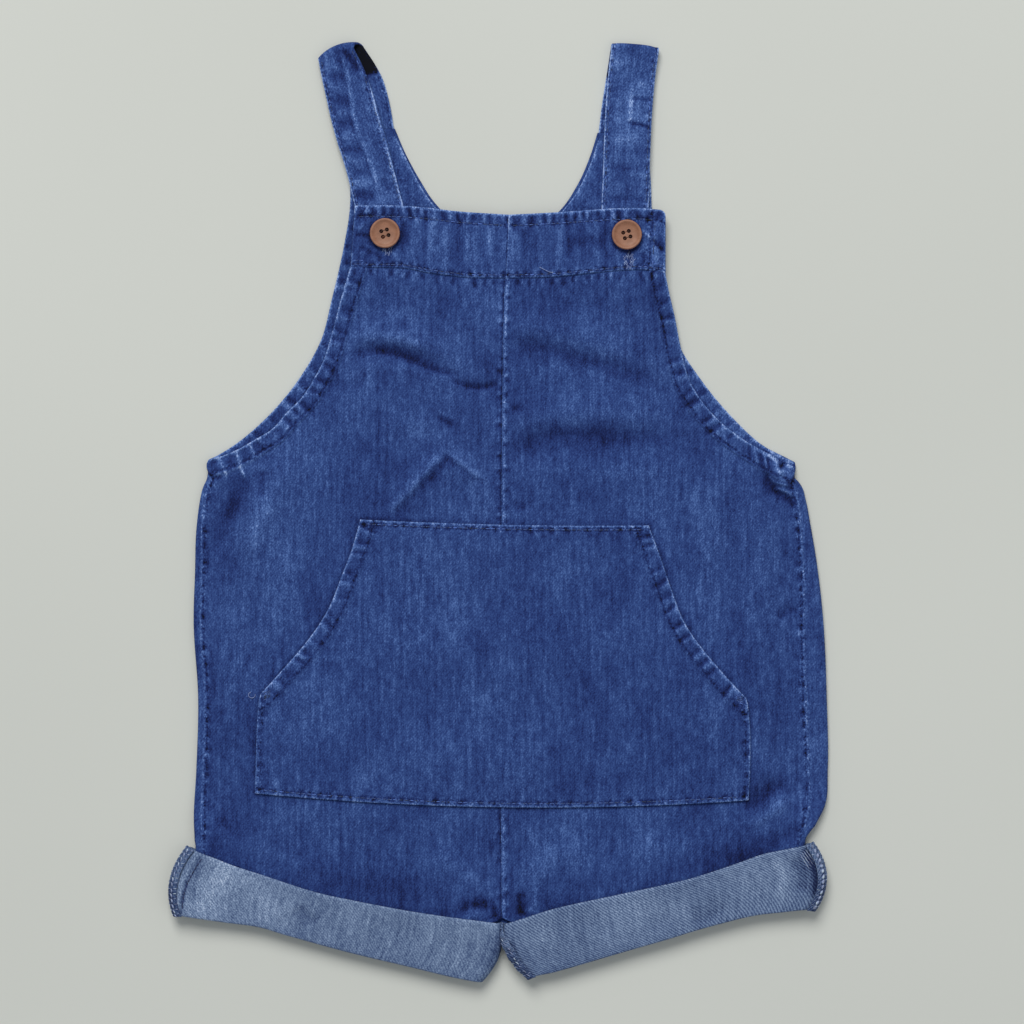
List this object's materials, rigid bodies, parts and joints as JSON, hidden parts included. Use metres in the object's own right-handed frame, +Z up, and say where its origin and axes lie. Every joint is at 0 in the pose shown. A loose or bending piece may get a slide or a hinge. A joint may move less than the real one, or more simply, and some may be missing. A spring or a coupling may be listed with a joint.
{
  "type": "baby's denim overalls, laid flat",
  "caption": "Short bib overalls in washed denim laid flat: straps over the top of the bib, kangaroo pocket, brown buttons and turned-up cuffs.",
  "frame": {"origin": "on the surface that the garment lies on, under the middle of its outline", "axes": "+Y from the cuffs to the straps, +Z up from the surface through the garment's front, +X to its right as it is seen from above"},
  "size_m": [0.3297, 0.4705, 0.0105],
  "materials": {
    "denim": "washed mid-blue denim, right side",
    "denim_wrong_side": "grey-blue wrong side of the denim, with pale twill lines",
    "button_brown": "tan brown, satin"
  },
  "bodies": {
    "root": {"back_left": "denim", "back_right": "denim", "front_left": "denim", "front_right": "denim", "band_left": "denim", "band_right": "denim", "back_facing": "denim", "pocket": "denim", "strap_left": "denim", "strap_right": "denim", "cuff_left": "denim_wrong_side", "cuff_right": "denim_wrong_side", "cuff_seam_left": "denim_wrong_side", "cuff_seam_right": "denim_wrong_side", "inseam_right": "denim_wrong_side", "button_left": "button_brown", "button_right": "button_brown"}
  },
  "joints": []
}
